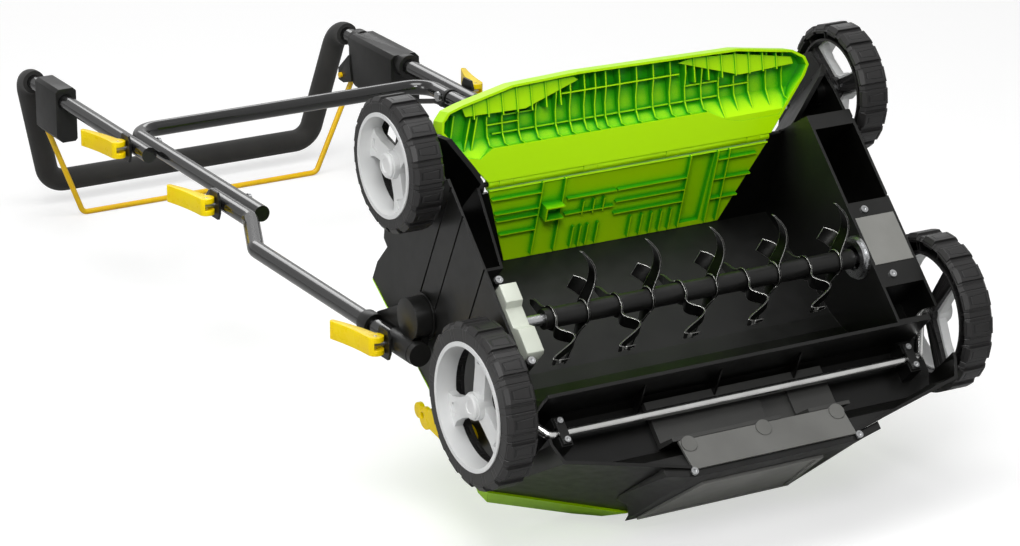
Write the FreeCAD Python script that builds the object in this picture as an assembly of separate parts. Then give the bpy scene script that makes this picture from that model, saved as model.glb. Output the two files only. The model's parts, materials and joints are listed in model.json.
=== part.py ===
import FreeCAD, Part
import math
import os

# Electric lawn scarifier, stored tipped over on its hood and on the bail of its handle.
# The deck is drawn upright: X right, Y forward, Z up, with Y = 0 and Z = 0 on the lawn
# under the rear axle.  The handle is drawn level, as it lies when the machine is tipped:
# X right, Y along the tubes away from the deck, Z up.  TIP_ANGLE joins the two.

# ---- driving dimensions, millimetres and degrees ----
TIP_ANGLE = 135.4455          # turn about X from standing on the wheels to lying on the hood
FLOOR_DROP = 429.0            # height of the upright frame's origin above the storage floor
ROW_MIDDLE = 461.6            # middle of the tipped machine along Y

DECK_HALF = 242.0             # outer face of the side walls
WALL = 3.0                    # moulded wall thickness
RIM_Z = 35.0                  # bottom rim of the deck
CHAMBER_HALF = 188.0          # inner wall beside the belt
ROTOR_Y = 203.0
ROTOR_Z = 55.0
CHAMBER_R = 88.0              # roof of the working chamber round the rotor
LIP_Y = 291.0                 # front lip of the working chamber

REAR_WHEEL_R = 70.0
REAR_FACE = 286.0
FRONT_WHEEL_R = 85.0
FRONT_FACE = 290.0
WHEEL_WIDTH = 36.0
FRONT_HUB = (266.7, 85.3)
AXLE_BORE = 5.06
SADDLE_BORE = 5.12
AXLE_R = 5.0
CRANK = (318.0, 75.0)         # axis that the front axle turns about

KNIFE_PITCH = 37.9
KNIFE_FIRST = -181.0
KNIFE_COUNT = 10
KNIFE_THICK = 2.0
SHAFT_R = 6.0
SLEEVE_R = 10.5

FLAP_LIP = (32.0, 84.0)
FLAP_ANGLE = 216.03           # slope of the flap from its lip to its free edge
FLAP_DEPTH = 19.0
CHUTE_ANGLE = 62.7            # slope of the ribbed panel inside the hood
CHUTE_LENGTH = 104.0
LEVER_PIVOT = (262.0, 178.0)

TUBE_R = 9.5
TUBE_WALL = 1.2
TUBE_LEVEL = -248.0           # height of the tubes below the upright frame's origin
LOWER_X = 260.0
OUTER_X = 220.5
INNER_X = 200.5
LOWER_BOLT = 70.0             # the three cam bolts along the handle
MIDDLE_BOLT = 562.0
UPPER_BOLT = 806.0
BOLT_R = 3.0
ARM_PIVOT = (121.0, 183.0)    # the handle's pivot on the deck, in the upright frame
FOAM_R = 14.5
GRIP_Y = 1160.0
GRIP_LEVEL = -399.0
BAIL_PIVOT = (1087.0, -294.0)
BAIL_BAR = (1099.0, -425.5)
BAIL_R = 3.5
CABLE_R = 3.2
CABLE_LEVEL = TUBE_LEVEL - 13.9

V = FreeCAD.Vector
X_AXIS = V(1, 0, 0)
os.makedirs("parts", exist_ok=True)


# ---- small helpers ----
def extrude_x(outline, x_from, x_to):
    corners = [V(x_from, y, z) for y, z in outline]
    face = Part.Face(Part.makePolygon(corners + corners[:1]))
    return face.extrude(V(x_to - x_from, 0, 0))


def extrude_y(outline, y_from, y_to):
    corners = [V(x, y_from, z) for x, z in outline]
    face = Part.Face(Part.makePolygon(corners + corners[:1]))
    return face.extrude(V(0, y_to - y_from, 0))


def extrude_z(outline, z_from, z_to):
    corners = [V(x, y, z_from) for x, y in outline]
    face = Part.Face(Part.makePolygon(corners + corners[:1]))
    return face.extrude(V(0, 0, z_to - z_from))


def box(x_from, x_to, y_from, y_to, z_from, z_to):
    return Part.makeBox(x_to - x_from, y_to - y_from, z_to - z_from, V(x_from, y_from, z_from))


def bar_x(radius, x_from, x_to, y, z):
    return Part.makeCylinder(radius, x_to - x_from, V(x_from, y, z), X_AXIS)


def revolve_x(profile):
    corners = [V(x, r, 0) for x, r in profile]
    face = Part.Face(Part.makePolygon(corners + corners[:1]))
    return face.revolve(V(0, 0, 0), X_AXIS, 360)


def loft(first, second):
    wires = [Part.makePolygon(ring + ring[:1]) for ring in (first, second)]
    return Part.makeLoft(wires, True, True)


def bent_path(corners, bend):
    edges = []
    start = corners[0]
    for before, corner, after in zip(corners, corners[1:], corners[2:]):
        back = (before - corner).normalize()
        ahead = (after - corner).normalize()
        half = back.getAngle(ahead) / 2
        setback = bend / math.tan(half)
        middle = (back + ahead).normalize() * (bend / math.sin(half) - bend)
        arc_start = corner + back * setback
        arc_end = corner + ahead * setback
        edges.append(Part.LineSegment(start, arc_start).toShape())
        edges.append(Part.Arc(arc_start, corner + middle, arc_end).toShape())
        start = arc_end
    edges.append(Part.LineSegment(start, corners[-1]).toShape())
    return Part.Wire(edges)


def rod(corners, radius, bend):
    ring = Part.Wire(Part.makeCircle(radius, corners[0], corners[1] - corners[0]))
    return bent_path(corners, bend).makePipeShell([ring], True, False)


def tube(corners, bend):
    return rod(corners, TUBE_R, bend).cut(rod(corners, TUBE_R - TUBE_WALL, bend))


def mirrored(shape):
    return shape.mirror(V(0, 0, 0), X_AXIS)


def both_sides(shape):
    return Part.makeCompound([shape, mirrored(shape)])


def fused(shapes):
    whole = shapes[0].multiFuse(shapes[1:])
    return whole.removeSplitter()


def turned(shape, angle, y=0.0, z=0.0):
    shape = shape.copy()
    shape.rotate(V(0, 0, 0), X_AXIS, angle)
    shape.translate(V(0, y, z))
    return shape


# ---- deck ----
def parting_z(y):
    return 253.5 - 0.19 * (y - 70.0)


def deck_ring(grow, z_of, top):
    """Plan outline of the deck, with its front corners cut away, at one level."""
    side = DECK_HALF + grow
    if top:
        front = [(side, 300), (236 + grow, 312 + grow), (101, 368 + grow)]
    else:
        front = [(side, 345), (234.5 + grow, 368 + grow), (98, 396 + grow)]
    right = [(side, 28 - grow)] + front
    ring = right + [(-x, y) for x, y in reversed(right)]
    return [V(x, y, z_of(y)) for x, y in ring]


def deck_envelope(grow):
    low = deck_ring(grow, lambda y: 20.0, False)
    high = deck_ring(grow, lambda y: 205.0, True)
    upper = [V(p.x, p.y, 290.0) for p in high]
    return loft(low, high).fuse(loft(high, upper))


def side_profile():
    return [(43, RIM_Z), (285, RIM_Z), (372, 46.5), (400, 53), (400, parting_z(400)),
            (70, parting_z(70)), (35, parting_z(35)), (17.5, 203), (20, 120), (30, 84)]


def chamber_profile():
    """Working chamber: arc round the rotor, then a straight roof back to the chute."""
    top = 75.7
    arc = []
    for step in range(7):
        angle = math.radians(top - step * (top + 6.5) / 6)
        arc.append((ROTOR_Y + CHAMBER_R * math.cos(angle), ROTOR_Z + CHAMBER_R * math.sin(angle)))
    return [(-20, 0), (-20, 84), (32, 84), (80, 177)] + arc + [(LIP_Y, 0)]


def roof_profile():
    top = 75.7
    reach = CHAMBER_R + WALL
    arc = []
    for step in range(6):
        angle = math.radians(top - step * (top - 27.0) / 5)
        arc.append((ROTOR_Y + reach * math.cos(angle), ROTOR_Z + reach * math.sin(angle)))
    return [(30, 88.5), (77.5, 180)] + arc + [(355, 96), (376, 96), (362, 203), (420, 300), (-20, 300), (-20, 90)]


def chassis():
    body = extrude_x(side_profile(), -DECK_HALF, DECK_HALF).common(deck_envelope(0))
    inner = deck_envelope(-WALL)
    chamber = extrude_x(chamber_profile(), -DECK_HALF + WALL, CHAMBER_HALF)
    chamber = chamber.cut(box(-245, -CHAMBER_HALF, -30, 125, -5, 230))
    bay = extrude_x(roof_profile(), -CHAMBER_HALF, CHAMBER_HALF).common(inner)
    side_bay = [(24, 300), (24, 205), (38, 150), (120, 150), (290, 150), (300, 98), (376, 98), (376, 300)]
    left_bay = extrude_x(side_bay, -DECK_HALF, -CHAMBER_HALF + 0.01).common(inner)
    right_bay = extrude_x(side_bay, CHAMBER_HALF + WALL, DECK_HALF).common(inner)
    slot = [(20, 20), (20, 146), (122, 146), (122, 20)]
    left_slot = extrude_x(slot, -DECK_HALF + WALL, -CHAMBER_HALF - WALL)
    low_wall = extrude_x([(20, 20), (20, 72), (125, 92), (125, 20)], -DECK_HALF + WALL, -CHAMBER_HALF + 0.5)
    belt_rear = box(CHAMBER_HALF + WALL, DECK_HALF - WALL, 60, 150, 20, 120)
    belt_middle = box(CHAMBER_HALF + WALL, DECK_HALF - WALL, 150.01, 250, RIM_Z + 6, 120)
    belt_front = box(CHAMBER_HALF + WALL, DECK_HALF - WALL, 250.01, 288, 20, 90)
    plate_seat = box(CHAMBER_HALF + WALL, DECK_HALF - WALL, 168, 224, 20, RIM_Z + 2.6)
    rear_step = box(CHAMBER_HALF + 0.01, 300, 0, 57, 20, 35)
    trough = extrude_x([(LIP_Y + WALL, 20), (LIP_Y + WALL, 84), (300, 93), (352, 93), (372, 60), (396, 50),
                        (396, 20)], -240, 240).common(inner)
    for cutter in (chamber, bay, left_bay, right_bay, left_slot, low_wall, belt_rear, belt_middle,
                   belt_front, plate_seat, rear_step, trough):
        body = body.cut(cutter)
    notch = extrude_x([(287, 20), (272, 60), (272, 97), (333, 97), (333, 20)], 228, 250)
    chute_gap = [(-170.4, -3), (170.4, -3), (170.4, 9), (126.4, CHUTE_LENGTH + 0.3), (-136.4, CHUTE_LENGTH + 0.3),
                 (-170.4, 9)]
    chute_opening = turned(extrude_z(chute_gap, -0.5, 6.5), CHUTE_ANGLE, *FLAP_LIP)
    rear_opening = box(-CHAMBER_HALF + 3.7, CHAMBER_HALF - 3.7, 10, 33, 80, 270)
    knob_room = bar_x(9.3, -CHAMBER_HALF + 1.5, -160, *hinge_centre())
    lever_bore = bar_x(6.06, -DECK_HALF - 5, -DECK_HALF + 5, *LEVER_PIVOT)
    shaft_hole = bar_x(SHAFT_R + 6, CHAMBER_HALF - 8, CHAMBER_HALF + 7, ROTOR_Y, ROTOR_Z)
    pin_holes = bar_x(2.55, -CHAMBER_HALF - 5, CHAMBER_HALF + 5, *hinge_centre())
    for cutter in (both_sides(notch), chute_opening, rear_opening, lever_bore, shaft_hole, cover_seat(),
                   hood_envelope(0), side_grooves()):
        body = body.cut(cutter)
    extras = [fender(), mirrored(fender()), rear_ear(), mirrored(rear_ear()), bearing_pad()]
    extras += [handle_boss(), mirrored(handle_boss()), axle_saddle(), mirrored(axle_saddle())]
    body = fused([body] + extras + lip_gussets())
    drain_hole = bar_x(4, DECK_HALF - 10, DECK_HALF + 10, -27, 92)
    return body.cut(knob_room).cut(pin_holes).cut(drain_hole)


def side_grooves():
    """Three slanted joints moulded in each side wall."""
    cuts = []
    for y in (18.5, 84.0, 145.0):
        foot = y if y > 60 else y + 32
        outline = [(foot, 30), (foot + 2.4, 30), (foot + 70.4, 240), (foot + 68, 240)]
        cuts.append(extrude_x(outline, DECK_HALF - 1.2, DECK_HALF + 5))
    return both_sides(Part.makeCompound(cuts))


def fender():
    """Arm of the side wall that carries the rear stub axle."""
    outline = [(60, 41), (15, 43), (-40, 54), (-46, 70), (-44, 100), (-20, 152), (10, 195), (17.5, 205),
               (40, 205)]
    plate = extrude_x(outline, DECK_HALF - WALL, DECK_HALF)
    boss = bar_x(14, DECK_HALF - 12, DECK_HALF + 5, 0, REAR_WHEEL_R)
    bore = bar_x(AXLE_R, DECK_HALF - 6, DECK_HALF + 10, 0, REAR_WHEEL_R)
    return plate.fuse(boss).cut(bore)


def rear_ear():
    """Slanted inner wall that closes the corner between the flap and the fender."""
    plan = [(189.5, 33), (189.5, 40), (DECK_HALF - 0.5, -13), (DECK_HALF - 0.5, -20)]
    side = [(-22, 48), (-6, 36), (1, 33), (9, 40), (28, 56), (44, 72), (44, 170), (12, 160), (-22, 112)]
    return extrude_z(plan, 20, 180).common(extrude_x(side, 180, DECK_HALF))


def handle_boss():
    y, z = ARM_PIVOT
    base = bar_x(25, DECK_HALF - 2, DECK_HALF + 3, y, z)
    return base.fuse(bar_x(9, DECK_HALF + 2, LOWER_X - 1, y, z))


def bearing_pad():
    """Ledge of the left wall that the bearing block is bolted to, with a post for each bolt."""
    ledge = extrude_x([(154, 60), (154, 96), (262, 96), (262, 60)], -DECK_HALF + 1, -232)
    posts = [Part.makeCylinder(5, 30, V(-230, y, 36.5)) for y in (160.5, 251.5)]
    return ledge.fuse(posts)


def axle_saddle():
    y, z = CRANK
    block = box(202, 215, y - 16, y + 16, z - 5.3, z + 22)
    slot = box(200, 217, y - SADDLE_BORE, y + SADDLE_BORE, z - 10, z)
    return block.cut(bar_x(SADDLE_BORE, 200, 217, y, z)).cut(slot)


def lip_gussets():
    return [extrude_x([(LIP_Y + 2, 50), (LIP_Y + 2, 88), (LIP_Y + 20, 95)], x, x + 2) for x in (-110, -20, 76)]


def hood_ring(grow, level, corners):
    """Plan outline of the hood at one level, from the corners of its right half."""
    back = corners[0]
    right = [(back[0] + grow, back[1] - grow)] + [(x + grow, y + grow) for x, y in corners[1:]]
    plan = right + [(-x, y) for x, y in reversed(right)]
    return [V(x, y, level(y)) for x, y in plan]


def hood_envelope(grow):
    """Hood filled solid; a negative grow gives the space inside its wall."""
    skirt = [(DECK_HALF + 1, 36), (DECK_HALF + 1, 301), (237, 314), (103, 372)]
    crown = [(212, 62), (212, 288), (206, 300), (92, 341)]
    whole = loft(hood_ring(grow, lambda y: parting_z(y) + grow, skirt),
                 hood_ring(grow, lambda y: 265.0 + 0.04 * (y - 72.0) + grow, crown))
    floor = box(-300, 300, -400, 400, -700, -FLOOR_DROP - grow)
    return whole.cut(turned(floor, TIP_ANGLE))


def hood():
    rear = extrude_x([(41, 260.6), (36.2, 260), (28, 253), (33, 106), (36, 106), (31.2, 251.5)],
                     -CHAMBER_HALF + 4, CHAMBER_HALF - 4)
    return hood_envelope(0).cut(hood_envelope(-WALL)).fuse(rear).removeSplitter()


def chute_outline(start):
    return [(-170, start), (170, start), (126, CHUTE_LENGTH), (-136, CHUTE_LENGTH)]


def chute_panel():
    """Ribbed panel inside the hood, from the flap's hinge up to the chamber roof."""
    length = CHUTE_LENGTH
    lattice = [rib_along(-165, -107, w) for w in (21, 40, 49, 67)]
    lattice += [rib_along(-73, -14, w) for w in (36, 55.5)]
    lattice += [rib_along(-12, 72, w) for w in (36, 51, 66)]
    lattice += [rib_up(x, 9, length - 4) for x in (-138, -107, -80, 72, 106, 120)]
    lattice += [rib_up(x, 74, length - 4) for x in (-60, -51, -42, -30, 10, 24, 36, 48, 60)]
    lattice += [rib_up(x, 43, 60) for x in (-53, -40, -28)]
    lattice += [rib_along(108, 156, w) for w in (20, 45, 70)]
    slanted = [(-17, 9), (-15.5, 9), (-2.5, length - 4), (-4, length - 4)]
    lattice.append(extrude_z(slanted, -4, 0.5))
    catch = [box(-102, -80, 38, 39.6, -12, 0.5), box(-102, -80, 52.4, 54, -12, 0.5),
             box(-102, -100.4, 38, 54, -12, 0.5)]
    flange = box(-150, 140, length - 5, length, -9, 0.5)
    trim = extrude_z(chute_outline(9), -20, 20)
    grid = Part.makeCompound(lattice + catch + [flange]).common(trim)
    plate = extrude_z(chute_outline(9), 0.0, 2.5)
    recess = [(76, 12), (104, 12), (100, length - 6), (76, length - 6)]
    tray = extrude_z([(74, 10), (106, 10), (102, length - 4), (74, length - 4)], 0.5, 5.8)
    plate = plate.fuse(tray).cut(extrude_z(recess, -1, 4.4))
    panel = turned(fused([plate] + grid.Solids), CHUTE_ANGLE, *FLAP_LIP)
    return panel.fuse(hinge_cover()).cut(bar_x(6.3, -200, 200, *hinge_centre()))


def rib_along(x_from, x_to, w):
    return box(x_from, x_to, w, w + 1.4, -4, 0.5)


def rib_up(x, w_from, w_to):
    return box(x, x + 1.4, w_from, w_to, -4, 0.5)


def hinge_cover():
    """Curved lip of the chute panel that covers the flap's knuckles."""
    y, z = hinge_centre()
    reach = 20.0
    rays = [(y + reach * math.cos(math.radians(a)), z + reach * math.sin(math.radians(a))) for a in (20, 60, 100)]
    wedge = extrude_x([(y, z)] + rays, -170, 170)
    return bar_x(8.3, -169, 169, y, z).common(wedge)


def nose_bumper():
    low = [V(x, y, 53) for x, y in ((-98, 400), (98, 400), (128, 393), (128, 380), (-128, 380), (-128, 393))]
    high = [V(x, y, 207) for x, y in ((-101, 376), (101, 376), (128, 352), (128, 340), (-128, 340), (-128, 352))]
    return loft(low, high).cut(deck_envelope(0.3)).cut(hood_space()).cut(cover_seat())


def hood_space():
    return extrude_z([(-150, 300), (150, 300), (150, 358), (104, 375.5), (-104, 375.5), (-150, 358)], 170, 300)


def nose_panel():
    """Trapezoid plate on the nose with a raised border."""
    lean = math.degrees(math.atan2(24.0, 154.0))
    outer = [(-72, 33), (72, 33), (92, 148), (-92, 148)]
    inner = [(-66, 38), (66, 38), (84, 143), (-84, 143)]
    plate = extrude_y([(x, z) for x, z in outer], 0.05, 3.0)
    plate = plate.cut(extrude_y([(x, z) for x, z in inner], 1.4, 5.0))
    plate.rotate(V(0, 0, 0), X_AXIS, lean)
    plate.translate(V(0, 400, 53))
    return plate


def cover_seat():
    return extrude_x([(357.8, 20), (357.8, 60.7), (393.2, 53.7), (393.2, 20)], -97.2, 97.2)


def front_cover():
    plate = extrude_x([(358, 57.5), (358, 60.5), (393, 53.5), (393, 50.5)], -97, 97)
    marks = [Part.makeCylinder(8.5, 6, V(x, 364, 54), V(0, 0, 1)) for x in (-88, 0, 88)]
    marks = [mark.cut(box(-120, 120, 340, 380, 59, 70)) for mark in marks]
    return fused([plate] + marks)


def inner_tray():
    floor = extrude_x([(300, 86), (300, 92.8), (350, 92.8), (356, 62), (352, 62), (346, 86)], -100, 112)
    floor = floor.cut(box(28, 62, 320, 360, 50, 90))
    return floor.cut(Part.makeCompound(lip_gussets()))


def belt_cover():
    return box(191.2, DECK_HALF - WALL - 0.2, 168.2, 223.8, RIM_Z - 0.5, RIM_Z + 2.4)


def bearing_ring():
    ring = revolve_x([(0, 13), (0, 21), (4, 21), (4, 23), (6, 23), (6, 13)])
    ring.translate(V(CHAMBER_HALF - 6, ROTOR_Y, ROTOR_Z))
    return ring


def bearing_block():
    outline = [(166, 44), (166, 35), (186, 35), (190, 42), (211, 42), (217, 34), (244, 34), (246, 38), (246, 58),
               (222, 74), (184, 74), (166, 60)]
    block = extrude_x(outline, -232, -213)
    return block.cut(bar_x(SHAFT_R + 0.05, -240, -200, ROTOR_Y, ROTOR_Z))


def screw(x, y, z, axis, radius=4.0):
    head = Part.makeCylinder(radius, 2.2, V(x, y, z), axis)
    socket = Part.makeCylinder(radius * 0.45, 1.4, V(x, y, z) + axis * 0.9, axis)
    return head.cut(socket)


def deck_screws():
    down = V(0, 0, -1)
    spots = [(-98, 395.5, 49.8, down), (98, 395.5, 49.8, down),
             (206, 160, RIM_Z, down), (206, 237, RIM_Z, down),
             (-230, 160.5, 36.5, down), (-230, 251.5, 36.5, down)]
    heads = [screw(*spot) for spot in spots]
    heads.append(screw(DECK_HALF - WALL, -19.5, 133, V(-1, 0, 0)))
    y, z = CRANK
    for side in (-1, 1):
        for reach in (-10.5, 10.5):
            heads.append(screw(side * 208.5, y + reach, z - 8.4, down, 3.2))
    return Part.makeCompound(heads)


def axle_clamps():
    y, z = CRANK
    return both_sides(box(203.5, 213.5, y - 14.5, y + 14.5, z - 8.3, z - 5.4))


def motor():
    can = bar_x(37, -45, 60, 300, 150)
    nose = bar_x(14, 60, 110, 300, 150)
    cap = bar_x(31, -57, -45, 300, 150)
    return fused([can, nose, cap])


def rear_stub_axles():
    return both_sides(bar_x(AXLE_R, DECK_HALF - 6, REAR_FACE - 9, 0, REAR_WHEEL_R))


# ---- rotor ----
# Reach, bow, width and twist along each kind of knife arm.
BOWED = ((9, 0, 20, 0), (20, 4, 16, 0), (33, 9, 14, 0), (45, 9, 12, 0), (56, 4, 9, 0), (66, -5, 3, 0))
FLAGGED = ((9, 0, 20, 0), (15, 8, 15, 10), (20, 14, 15, 20), (48, 12, 15, 20))
TAPERED = ((9, 0, 20, 0), (20, -2, 17, 20), (40, -4, 12, 32), (65, -8, 3, 32))
HOOKED = ((9, 0, 20, 0), (20, 2, 15, 0), (40, 8, 12, 0), (60, 12, 5, 0))
WAVED = ((9, 0, 20, 0), (16, -3, 15, 0), (23, -5, 14, 0), (33, 4, 13, 0), (47, -3, 11, 0), (64, -14, 3, 0))


def knife_arm(angle, stations):
    """Spring-steel strip: each station gives its reach, sideways bow, width and twist."""
    rings = []
    for reach, bow, width, twist in stations:
        turn = math.radians(twist)
        across = V(math.sin(turn), 0, math.cos(turn)) * (width / 2)
        thick = V(math.cos(turn), 0, -math.sin(turn)) * (KNIFE_THICK / 2)
        centre = V(bow, reach, 0)
        ring = [centre + across + thick, centre - across + thick, centre - across - thick, centre + across - thick]
        rings.append(Part.makePolygon(ring + ring[:1]))
    return turned(Part.makeLoft(rings, True, False), angle)


def knife(x, arms):
    hub = bar_x(13, -KNIFE_THICK / 2, KNIFE_THICK / 2, 0, 0)
    blade = fused([hub] + [knife_arm(*arm) for arm in arms])
    blade = blade.cut(bar_x(SHAFT_R + 0.02, -30, 30, 0, 0))
    blade = blade.cut(bar_x(SLEEVE_R + 0.1, 1, 30, 0, 0)).cut(bar_x(SLEEVE_R + 0.1, -30, -1, 0, 0))
    blade.translate(V(x, ROTOR_Y, ROTOR_Z))
    return blade


def knife_x():
    return [KNIFE_FIRST + KNIFE_PITCH * i for i in range(KNIFE_COUNT)]


def rotor_knives():
    blades = []
    for i, x in enumerate(knife_x()):
        arms = ((132, HOOKED), (-25, WAVED)) if i % 2 == 0 else ((-131, BOWED), (155, FLAGGED), (66, TAPERED))
        blades.append(knife(x, arms))
    return Part.makeCompound(blades)


def rotor_shaft():
    return bar_x(SHAFT_R, -226, 212, ROTOR_Y, ROTOR_Z)


def rotor_spacers():
    edges = [-190.0] + knife_x() + [179.0]
    sleeves = []
    for start, end in zip(edges, edges[1:]):
        first = start + 1.02 if start > -185 else start
        last = end - 1.02 if end < 175 else end
        sleeve = bar_x(SLEEVE_R, first, last, ROTOR_Y, ROTOR_Z)
        sleeves.append(sleeve.cut(bar_x(SHAFT_R + 0.02, first - 1, last + 1, ROTOR_Y, ROTOR_Z)))
    return Part.makeCompound(sleeves)


# ---- rear flap ----
def rear_flap():
    """Moulded flap, drawn flat: X across, Y from the hinge lip to the free edge, Z inwards."""
    plan = [(-171, 0), (-220, 57), (-218, 69), (-210, 78), (-193, 83), (-134, 95.3), (-54, 98), (137, 94.7),
            (206, 84), (221, 75), (225, 66), (219, 55), (172, 0)]
    depth = FLAP_DEPTH
    back = extrude_x([(-5, -depth - 1), (-5, -3.2), (24, -3.2), (42, -depth), (110, -depth), (110, -depth - 1)],
                     -230, 230)
    floor = extrude_x([(-5, 2), (-5, -0.2), (24, -0.2), (44, 2.8 - depth), (110, 2.8 - depth), (110, 2)], -230, 230)
    well = [(-178, 25), (-163, 34), (96, 33.5), (118, 22), (135, 18), (183, 18), (215.5, 56), (221.5, 66),
            (218, 73.5), (204.5, 81.5), (137, 92), (-54, 95.3), (-133.5, 92.6), (-192, 80.4), (-208, 76),
            (-215.5, 68), (-217, 58), (-192, 28)]
    body = extrude_z(plan, -depth, 0).cut(extrude_z(well, -depth, 1).common(floor))
    grid = fused(flap_ribs()).common(extrude_z(well, -depth, 1))
    pads = [extrude_z([(-192.3, 79.4), (-188.9, 69.9), (-119, 68.6), (-55, 89), (-60, 93), (-87, 93.5), (-133, 91)],
                      -6, -4),
            extrude_z([(65.9, 88.9), (139.8, 66.4), (207.6, 68.8), (205.7, 76.3), (139, 88.5), (84.6, 92.3)],
                      -6, -4)]
    flap = fused([body, grid] + pads).cut(back)
    lugs = [extrude_x([(-2.5, -10.6), (-2.5, -0.6), (2, 0), (12, -0.5), (12, -3)], x - 8, x + 8)
            for x in (-150, -50, 50, 150)]
    knuckles = [bar_x(5, x - 8, x + 8, -2.5, -5.6) for x in (-150, -50, 50, 150)]
    flap = turned(fused([flap] + lugs + knuckles), FLAP_ANGLE, *FLAP_LIP)
    return flap.cut(bar_x(2.6, -200, 200, *hinge_centre()))


def flap_ribs():
    """Ribs of the flap's well: a tooth at the band, then a low waved edge out to the rim."""
    crest = [(36, -7), (46, -11), (60, -10), (77, -5), (97, -4), (97, -18), (20, -18)]
    ribs = []
    for x in (-163, -145, -126, -105.6, -82, -65, -48, -35, -22.5, -6, 14.7, 35, 55.6, 74.4, 94.4):
        ribs.append(extrude_x([(28, -0.3), (35, -0.3)] + crest, x, x + 1.6))
    for x, foot in ((116, 22), (135, 18), (153, 18), (175, 18), (195, 30)):
        ribs.append(extrude_x([(foot - 4, -0.3), (foot + 3, -0.3)] + crest, x, x + 1.6))
    for x, y, x_end in ((-208, 44, -201), (-194, 30, -181), (-187, 24, -173)):
        slanted = [(x, y), (x + 1.8, y), (x_end + 1.8, 72), (x_end, 72)]
        ribs.append(extrude_z(slanted, -18, -8))
    ribs.append(box(-156, 116, 46, 47.6, -18, -12))
    ribs.append(box(-75, 67, 76.5, 78, -18, -5))
    for x_from, x_to, u in ((-163, -126, 56), (-145, -105, 64), (74, 117, 62), (116, 154, 55)):
        ribs.append(box(x_from, x_to, u, u + 1.5, -18, -10))
    for i in range(7):
        ribs.append(box(-180 + 17 * i, -178.6 + 17 * i, 66, 97, -18, -3))
        ribs.append(box(84 + 17 * i, 85.4 + 17 * i, 66, 97, -18, -3))
    return ribs


def hinge_centre():
    spot = turned(Part.Vertex(0, -2.5, -5.6), FLAP_ANGLE, *FLAP_LIP).Point
    return spot.y, spot.z


def flap_pins():
    pin = bar_x(2.55, -CHAMBER_HALF - 2, CHAMBER_HALF + 2, *hinge_centre())
    knob = revolve_x([(-8, 0), (-8, 7), (-6, 9), (0, 9), (0, 0)])
    y, z = hinge_centre()
    knob.translate(V(-178, y, z))
    return pin.fuse(knob)


# ---- front axle and height lever ----
def front_axle():
    hub_y, hub_z = FRONT_HUB
    y, z = CRANK
    half = [V(FRONT_FACE - 10, hub_y, hub_z), V(253, hub_y, hub_z), V(221, y, z)]
    return rod(half + [V(-p.x, p.y, p.z) for p in reversed(half)], AXLE_R, 9)


def height_lever():
    """Flat lever beside the left wall with a rounded finger end and a hole."""
    start = -DECK_HALF - 8.6
    y, z = LEVER_PIVOT
    bar = extrude_x([(251, 172), (271, 187), (237, 236), (217, 250), (201, 236), (219, 224)], start, start + 5)
    finger = [bar_x(12, start, start + 5, 205, 250), bar_x(8.5, start, start + 5, 192, 257)]
    lever = fused([bar, bar_x(13, start, start + 5, y, z)] + finger)
    lever = lever.cut(bar_x(3.4, start - 5, start + 9, 200, 253))
    return lever.fuse(bar_x(6, start + 4, start + 11.2, y, z))


# ---- wheels ----
def tyre(radius, spoke_angle):
    """Black wheel body: hollow tread ring, tread blocks, barrel and three inner spokes."""
    barrel = radius * 0.745
    width = WHEEL_WIDTH - 1.5
    crown = radius - 2.6
    ring = revolve_x([(0, crown - 4), (4, crown), (width - 4, crown), (width, crown - 4),
                      (width, barrel), (3, barrel), (3, barrel + 2.5), (width - 4, barrel + 2.5),
                      (width - 4, radius - 7), (0, radius - 7)])
    block = extrude_y([(0.6, crown - 7), (0.6, crown - 2), (4, radius), (width - 4, radius),
                       (width - 0.6, crown - 2), (width - 0.6, crown - 7)], -8, 8)
    block = block.common(bar_x(radius, 0, width, 0, 0))
    blocks = [turned(block, 20 * i) for i in range(18)]
    ribs = [turned(box(6, width - 3, barrel + 1, radius - 6, -1, 1), 30 * i) for i in range(12)]
    hub = bar_x(12, 7, 13.4, 0, 0)
    spoke = extrude_x([(8, -7), (barrel + 1, -9), (barrel + 1, 9), (8, 7)], 8, 13.4)
    spokes = [turned(spoke, spoke_angle + 120 * i) for i in range(3)]
    body = fused([ring, hub] + blocks + ribs + spokes)
    return body.cut(bar_x(AXLE_BORE, 0, 40, 0, 0))


def rim(radius, spoke_angle):
    """Grey insert: thin lip, deep barrel and three flared spokes with a square recess."""
    outer = radius * 0.745 - 0.1
    inner = outer - 2.0
    face = WHEEL_WIDTH - 1.45
    lip = radius * 0.775
    ring = revolve_x([(13.6, inner), (13.6, outer), (face, outer), (face, lip), (WHEEL_WIDTH, lip),
                      (WHEEL_WIDTH, inner)])
    outline = [(8, -11), (inner * 0.62, -10.5), (inner * 0.85, -13), (inner + 1, -20), (inner + 1, 20),
               (inner * 0.85, 13), (inner * 0.62, 10.5), (8, 11)]
    spoke = extrude_x(outline, 13.6, 23)
    spoke = spoke.cut(box(21, 26, inner * 0.72, inner * 0.92, -6, 6)).common(bar_x(outer, 13, 25, 0, 0))
    spokes = [turned(spoke, spoke_angle + 120 * i) for i in range(3)]
    hub = bar_x(14.5, 13.5, 29, 0, 0)
    body = fused([ring, hub] + spokes)
    return body.cut(bar_x(AXLE_BORE, 0, 27.5, 0, 0))


def hub_cap():
    return revolve_x([(29.05, 0), (29.05, 13), (31.5, 13), (33, 11), (33, 7), (32, 6), (32, 0)])


def place_wheel(shape, side, face, y, z):
    shape = shape.copy()
    shape.translate(V(face - WHEEL_WIDTH, y, z))
    return shape if side > 0 else mirrored(shape)


# ---- handle, drawn level ----
def arm_centre():
    spot = turned(Part.Vertex(0, *ARM_PIVOT), -TIP_ANGLE).Point
    return spot.y, spot.z


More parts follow.
